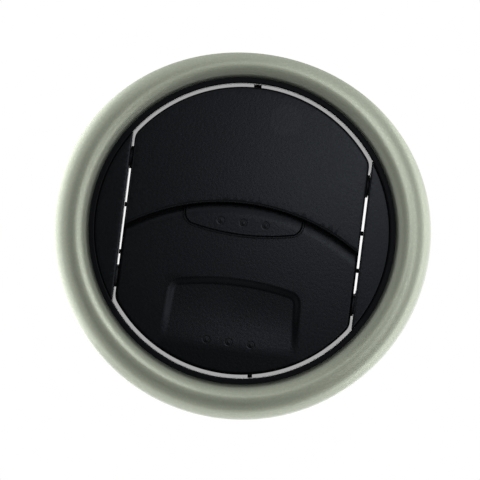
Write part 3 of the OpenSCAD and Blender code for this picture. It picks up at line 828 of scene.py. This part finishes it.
class VENT_OT_lower_vane(bpy.types.Operator):
    """Builds the lower vane: domed plate, grip pad with its line, thumb pocket, dots, ribs and bosses"""

    bl_idname = "vent.lower_vane"
    bl_label = "Lower vane"

    def execute(self, context):
        s = context.scene.vent_sizes
        seam_z = s.seam_top - s.seam_r

        def edge(x, z):
            band = soft_max(np.hypot(x, z) - s.vane_r, np.abs(x) - s.lower_half, s.vane_corner)
            return soft_max(band, np.hypot(x, z - seam_z) - (s.seam_r + s.overlap), 0.5 * MM)

        pad_corner, pad_bow = 4 * MM, 62 * MM
        pad_corner_z = s.pad_low + pad_corner + 1.2 * MM

        def pad_side(x, z):
            """Distance to the pad's lower side and its two ends."""
            u = np.abs(x) - (s.pad_half - pad_corner)
            bow = np.hypot(x, z - (s.pad_low + pad_bow)) - pad_bow
            low_end = np.where(u > 0, np.hypot(u, z - pad_corner_z) - pad_corner, bow)
            end = np.where(z < pad_corner_z, low_end, u - pad_corner)
            return np.maximum(bow, end)

        def pad_top(x, z):
            return np.hypot(x, z - seam_z) - (s.seam_r - 0.2 * MM)

        def pad(x, z):
            return np.maximum(pad_side(x, z), pad_top(x, z))

        pocket_corner, pocket_bow, flare = 4 * MM, 70 * MM, 1.3 * MM
        pocket_corner_z = s.pocket_top - pocket_corner - 1.4 * MM

        def pocket(x, z):
            """Distance to the pocket's upper edge, corners and sides."""
            u = np.abs(x) - (s.pocket_half - pocket_corner)
            bow = np.hypot(x, z - (s.pocket_top - pocket_bow)) - pocket_bow
            spread = flare * (pocket_corner_z - z) / (pocket_corner_z + s.core_r)
            side = u - pocket_corner - spread
            corner = np.where(u > 0, np.hypot(np.maximum(u, 0), z - pocket_corner_z) - pocket_corner, bow)
            return np.maximum(bow, np.where(z < pocket_corner_z, side, corner))

        def dome(x, z):
            return s.lower_y + sag(s, np.hypot(x, z))

        wall = 2.2 * MM

        def front(x, z):
            share = np.clip((s.pocket_top - z) / (s.pocket_top - s.pocket_low), 0, 1)
            floor = s.pocket_depth * 0.5 * (1 + np.cos(math.pi * share * share))
            floor = floor * (1 - 0.35 * np.clip(x / s.pocket_half, -1, 1) ** 2)
            into = np.clip(-pocket(x, z) / wall, 0, 1)
            y = dome(x, z) + floor * into * into * (3 - 2 * into)
            up = np.clip(-pad(x, z) / (0.3 * MM), 0, 1)
            line = np.clip(1 - np.abs(pad_side(x, z) + 0.68 * MM) / (0.22 * MM), 0, 1)
            line = line * (pad_top(x, z) < 0)
            y = y - s.pad_rise * np.sqrt(1 - (1 - up) ** 2) + 0.3 * MM * line * line * (3 - 2 * line)
            near = np.clip(1 - (s.seam_r - np.hypot(x, z - seam_z)) / (3.4 * MM), 0, 1)
            y = y + s.seam_fall * near * near
            for row_z in dot_rows:
                for i in (-1, 0, 1):
                    away = np.hypot(x - i * s.dot_pitch, z - row_z)
                    cap = np.sqrt(np.maximum(s.dot_r**2 - away**2, 0)) - 0.7 * s.dot_r
                    moat = np.clip(1 - np.abs(away - 0.9 * MM) / (0.22 * MM), 0, 1)
                    y = y - np.maximum(cap, 0) + 0.05 * MM * moat
            return y

        def back(x, z):
            into = np.clip((1.2 * MM - pocket(x, z)) / (0.4 * MM), 0, 1)
            foot = np.clip((z + 35.5 * MM) / (1.5 * MM), 0, 1)
            return dome(x, z) + s.vane_t + 1.3 * MM * into * foot

        dot_rows = (2.1 * MM, -29.6 * MM)
        pad_middle, pocket_middle = (0.0, 2.6 * MM), (0.0, -22 * MM)
        curves = [loop_curve(pad, pad_middle, 0.4 * MM, level * MM) for level in (0.12, 0.0, -0.04, -0.12, -0.3, -0.38)]
        for level in (0.45, 0.56, 0.68, 0.80, 0.91):
            curves.append(loop_curve(
                lambda x, z: np.maximum(pad_side(x, z) + level * MM, pad_top(x, z) + 0.02 * MM),
                pad_middle, 0.4 * MM,
            ))

        inset = s.vane_edge + 0.25 * MM

        def pocket_room(x, z):
            return soft_max(pocket(x, z), s.pocket_low - z, 0.3 * MM)

        def pocket_room_in(x, z):
            return np.maximum(pocket_room(x, z), edge(x, z) + inset)

        curves += [
            loop_curve(pocket_room_in, pocket_middle, 0.5 * MM, level * MM)
            for level in (0.1, 0.0, -0.2, -0.45, -0.7, -1.0, -1.3, -1.6, -1.9, -2.15, -2.3)
        ]
        for row_z in dot_rows:
            for i in (-1, 0, 1):
                for r in (0.2, 0.4, 0.55, 0.68, 0.78, 0.88, 1.0, 1.12, 1.24):
                    curves.append(circle_points(i * s.dot_pitch, row_z, r * MM, 28))

        for level in (0.0, 0.9, 1.8, 2.7, 3.4):
            inside = max(level, 0.02) * MM
            curves.append(loop_curve(
                lambda x, z: np.maximum(np.hypot(x, z - seam_z) - s.seam_r + inside, edge(x, z) + inset),
                (0.0, -14 * MM), 0.9 * MM,
            ))

        def away(x, z):
            clear = (pad(x, z) > 0.6 * MM) | (pad(x, z) < -1.2 * MM)
            clear &= (np.abs(pocket_room_in(x, z) + 1.1 * MM) > 1.6 * MM)
            for row_z in dot_rows:
                for i in (-1, 0, 1):
                    clear &= np.hypot(x - i * s.dot_pitch, z - row_z) > 1.6 * MM
            return clear

        def backing(x, z):
            return np.maximum(pocket(x, z) - 1.2 * MM, -35.5 * MM - z)

        back_curves = [
            loop_curve(
                lambda x, z: np.maximum(backing(x, z), edge(x, z) + 0.65 * MM), pocket_middle, 0.7 * MM, level * MM
            )
            for level in (0.0, -0.2, -0.4, -0.6)
        ]
        bm = bmesh.new()
        domed_plate(
            bm, edge, (0.0, -14 * MM), front, back, s.vane_edge, 0.5 * MM, 2.0 * MM, curves, back_curves, away
        )
        plate_y = s.lower_y + float(sag(s, s.lower_half)) + s.vane_t / 2
        vane_bosses(bm, s, s.lower_half, -s.pivot_rise, plate_y)
        for x in (-10 * MM, 10 * MM):
            stations = np.linspace(s.pocket_top + 2 * MM, s.seam_top - 1 * MM, 14)
            lay_strip(
                bm, x, 0.5 * MM, stations,
                lambda z: float(dome(x, z)) + s.vane_t - 0.2 * MM, lambda z: float(dome(x, z)) + s.vane_t + 1.3 * MM,
            )
        add_piece(
            "lower_shutter", bm, "lower_vane_set",
            materials(context.scene)["lower_satin"], ("lower_vane",),
        )
        return {"FINISHED"}


class VENT_OT_soft_parts(bpy.types.Operator):
    """Builds the foam duct seal, the four felt pads and the silicone friction ring"""

    bl_idname = "vent.soft_parts"
    bl_label = "Seals and felt"

    def execute(self, context):
        s = context.scene.vent_sizes
        finishes = materials(context.scene)
        dice = np.random.default_rng(7)

        bm = bmesh.new()
        low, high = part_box("duct_seal")
        section = rounded_box_section(s.barrel_r, high[0], low[1], high[1], 0.5 * MM, 4)
        count = 240
        wave = [0.12 * MM * math.sin(5 * a + 1) * math.sin(11 * a) for a in np.linspace(0, TURN, count, endpoint=False)]
        sections = []
        for k in range(count):
            rough = dice.uniform(0, 0.14, len(section)) * MM
            sections.append([
                (max(s.barrel_r, r - abs(wave[k]) - c if r > s.barrel_r + 0.6 * MM else r),
                 min(max(y, low[1] + c), high[1] - c))
                for (r, y), c in zip(section, rough)
            ])
        revolve(bm, sections)
        seal = add_piece("foam_seal", bm, "housing", finishes["open_foam"], ("duct_seal",), 70)

        bm = bmesh.new()
        slope = math.tan(s.dash_lean)
        rise = 0.8 * MM
        for quarter in range(4):
            rings = []
            for a in np.radians(np.linspace(-24.9, 24.9, 61) + 90 * quarter):
                section = []
                for r, share in ((0.0, 0.0), (0.55, 0.0), (0.85, 0.05), (1.0, 0.14), (1.0, 0.35), (1.0, 0.65),
                                 (1.0, 0.86), (0.85, 0.95), (0.55, 1.0), (0.0, 1.0)):
                    radius = s.sleeve_out + r * rise - (dice.uniform(0, 0.07) * MM if r else 0)
                    z = radius * math.sin(a)
                    start = -z * slope + 0.31 * MM
                    y = start + share * 2.98 * MM
                    section.append(bm.verts.new((radius * math.cos(a), y, z)))
                rings.append(section)
            for first, second in zip(rings, rings[1:]):
                join_rings(bm, first, second)
            bm.faces.new(rings[0])
            bm.faces.new(rings[-1])
        felt = add_piece("felt_strips", bm, "housing", finishes["needled_felt"], ("felt_pads",), 70)

        bm = bmesh.new()
        low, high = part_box("friction_ring")
        section = rounded_box_section(40.0 * MM, high[0], low[1], high[1], 0.35 * MM, 4)
        revolve(bm, [section] * 192)
        add_piece("grip_ring", bm, "core", finishes["matt_silicone"], ("friction_ring",))
        return {"FINISHED"}


class VENT_OT_mouldings(bpy.types.Operator):
    """Finishes the black mouldings that keep their CAD shape: carrier, barrel, rotor and washers"""

    bl_idname = "vent.mouldings"
    bl_label = "Black mouldings"

    def execute(self, context):
        finishes = materials(context.scene)
        for node in ("carrier", "barrel", "rotor"):
            refinish(node, finishes["housing_black"])
        for node in ("upper_washers", "lower_washers"):
            refinish(node, finishes["washer_black"])
        return {"FINISHED"}


class VENT_OT_metal(bpy.types.Operator):
    """Finishes the spring clips and the pivot pins"""

    bl_idname = "vent.metal"
    bl_label = "Clips and pins"

    def execute(self, context):
        finishes = materials(context.scene)
        refinish("dash_clips", finishes["clip_steel"])
        for node in ("upper_drive_pin", "upper_idle_pin", "lower_drive_pin", "lower_idle_pin"):
            refinish(node, finishes["pin_steel"])
        return {"FINISHED"}


class VENT_OT_linkage(bpy.types.Operator):
    """Finishes the acetal linkage: cranks, link rod and pivot bushes"""

    bl_idname = "vent.linkage"
    bl_label = "Linkage"

    def execute(self, context):
        finishes = materials(context.scene)
        for node in ("upper_crank", "lower_crank", "link_rod", "pivot_bushes"):
            refinish(node, finishes["natural_acetal"])
        return {"FINISHED"}


def area_lamp(name, place, target, size, power):
    """A square soft lamp at place that shines at target."""
    light = bpy.data.lights.new(name, "AREA")
    light.shape = "SQUARE"
    light.size = size
    light.energy = power
    lamp = bpy.data.objects.new(name, light)
    bpy.context.scene.collection.objects.link(lamp)
    lamp.location = place
    lamp.rotation_euler = (Vector(target) - Vector(place)).to_track_quat("-Z", "Y").to_euler()
    return lamp


# How far forward each band of the surroundings ends, then the light of its bands from behind to in front,
# above, below, right and left
SKY_EDGES = (-0.3, 0.1, 0.4, 0.7, 0.9)
SKY_LEVELS = (
    (2.00, 0.90, 0.75, 0.65, 0.60, 0.12),
    (1.80, 1.40, 0.35, 0.20, 0.04, 0.11),
    (1.30, 1.80, 0.40, 0.35, 1.40, 0.12),
    (2.20, 1.50, 0.65, 0.48, 0.03, 0.11),
)


class VENT_OT_stage(bpy.types.Operator):
    """Sets up the camera, the lamps, the white surroundings and the pale floor"""

    bl_idname = "vent.stage"
    bl_label = "Stage"

    def execute(self, context):
        stage = context.scene.vent_stage
        scene = context.scene
        scene.view_settings.view_transform = "Standard"

        lens = bpy.data.cameras.new("view")
        lens.sensor_width = 36
        lens.lens = lens.sensor_width * stage.distance / stage.frame_width
        lens.clip_start, lens.clip_end = 0.01, 20
        camera = bpy.data.objects.new("view", lens)
        scene.collection.objects.link(camera)
        right = Vector((math.cos(stage.roll), 0, math.sin(stage.roll)))
        up = Vector((-math.sin(stage.roll), 0, math.cos(stage.roll)))
        back = Vector((0, -1, 0))
        middle = -right * stage.shift_right - up * stage.shift_up
        turn = Matrix((right, up, back)).transposed()
        camera.matrix_world = Matrix.Translation(
            middle + Vector((0, stage.face_y - stage.distance, 0))
        ) @ turn.to_4x4()
        scene.camera = camera

        area_lamp("key_lamp", (0.180, -1.122, 0.158), (0, 0, 0), 0.30, stage.key_power)
        area_lamp("fill_lamp", (0.342, -1.051, 0.317), (0, 0, 0), 0.30, stage.fill_power)

        world = bpy.data.worlds.new("surroundings")
        world.use_nodes = True
        scene.world = world
        s = Shader(world.node_tree)
        direction = s.node("ShaderNodeTexCoord", out="Generated")
        x, away, z = (s.node("ShaderNodeSeparateXYZ", {}, {"Vector": direction}, axis) for axis in "XYZ")
        side = s.node("ShaderNodeMath", {"operation": "ABSOLUTE"}, {0: x})
        up = s.ramp(z - side, -0.10, 0.10)
        down = s.ramp(-1.0 * z - side, -0.10, 0.10)
        right = (1.0 - up - down) * s.ramp(x, -0.08, 0.08)
        left = 1.0 - up - down - right
        steps = [s.ramp(away * -1.0, edge - 0.04, edge + 0.04) for edge in SKY_EDGES]
        light = 0.0
        for share, (start, *levels) in zip((up, down, right, left), SKY_LEVELS):
            level = start
            for step, before, after in zip(steps, (start, *levels), levels):
                level = level + step * (after - before)
            light = light + share * level
        light = light * stage.glow
        seen = s.node("ShaderNodeLightPath", out="Is Camera Ray")
        # Where a ray from the camera passes the vent's face: grey round the vanes, a painted shadow of the vent on the
        # surroundings behind it, and white through the side gaps and beyond the rim
        reach = stage.distance / away
        eye = camera.location
        across = s.node("ShaderNodeCombineXYZ", {}, {0: x * reach + eye.x, 1: 0.0, 2: z * reach + eye.z})
        radius = s.node("ShaderNodeVectorMath", {"operation": "LENGTH"}, {0: across}, "Value")
        ring = s.ramp(radius, 34.0 * MM, 37.4 * MM) * s.ramp(radius, 46.5 * MM, 41.0 * MM)
        backdrop = 1.0 - ring * (1.0 - stage.painted_shadow_grey)
        strength = light * (1.0 - seen) + seen * backdrop
        glow = s.node("ShaderNodeBackground", {}, {"Color": (1.0, 1.0, 1.0), "Strength": strength})
        s.node("ShaderNodeOutputWorld", {}, {"Surface": glow})

        bm = bmesh.new()
        bmesh.ops.create_circle(bm, cap_ends=True, radius=0.4, segments=96)
        mesh = bpy.data.meshes.new("floor")
        bm.to_mesh(mesh)
        bm.free()
        floor = bpy.data.objects.new("floor", mesh)
        scene.collection.objects.link(floor)
        floor.location = (0, 0.35, stage.floor_z)
        material = bpy.data.materials.new("pale_floor")
        material.use_nodes = True
        s = Shader(material.node_tree)
        place = s.place()
        far = s.node("ShaderNodeVectorMath", {"operation": "LENGTH"}, {0: place}, "Value")
        mottle = s.noise(place, 40.0, 3.0)
        base = tuple(scene.vent_colours.floor)
        tone = s.blend(mottle * 0.3, base, scaled(base, 0.97))
        matt = s.node("ShaderNodeBsdfPrincipled", {}, {"Base Color": tone, "Roughness": 0.85})
        white = s.node("ShaderNodeEmission", {}, {"Color": (1.0, 1.0, 1.0), "Strength": 1.0})
        fade = s.ramp(far, 0.10, 0.36)
        seen = s.node("ShaderNodeLightPath", out="Is Camera Ray")
        s.surface(s.node("ShaderNodeMixShader", {}, {0: fade * seen, 1: matt, 2: white}))
        mesh.materials.append(material)
        return {"FINISHED"}


STEPS = (
    VENT_OT_stage,
    VENT_OT_bezel,
    VENT_OT_retaining_ring,
    VENT_OT_cheeks,
    VENT_OT_upper_vane,
    VENT_OT_lower_vane,
    VENT_OT_soft_parts,
    VENT_OT_mouldings,
    VENT_OT_metal,
    VENT_OT_linkage,
)


class VENT_PT_panel(bpy.types.Panel):
    """Lists the steps that build the vent"""

    bl_label = "Air vent"
    bl_idname = "VENT_PT_panel"
    bl_space_type = "VIEW_3D"
    bl_region_type = "UI"
    bl_category = "Air vent"

    def draw(self, context):
        for step in STEPS:
            self.layout.operator(step.bl_idname)
        for group in (context.scene.vent_sizes, context.scene.vent_colours, context.scene.vent_stage):
            box = self.layout.box()
            for key in group.__annotations__:
                box.prop(group, key)


GROUPS = (VentSizes, VentColours, VentStage)


def register():
    for item in (*GROUPS, *STEPS, VENT_PT_panel):
        bpy.utils.register_class(item)
    bpy.types.Scene.vent_sizes = PointerProperty(type=VentSizes)
    bpy.types.Scene.vent_colours = PointerProperty(type=VentColours)
    bpy.types.Scene.vent_stage = PointerProperty(type=VentStage)


def unregister():
    del bpy.types.Scene.vent_stage
    del bpy.types.Scene.vent_colours
    del bpy.types.Scene.vent_sizes
    for item in reversed((*GROUPS, *STEPS, VENT_PT_panel)):
        bpy.utils.unregister_class(item)


def main():
    """Registers the add-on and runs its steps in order."""
    register()
    for step in STEPS:
        group, name = step.bl_idname.split(".")
        getattr(getattr(bpy.ops, group), name)()
    bpy.context.view_layer.update()


if __name__ == "__main__":
    main()
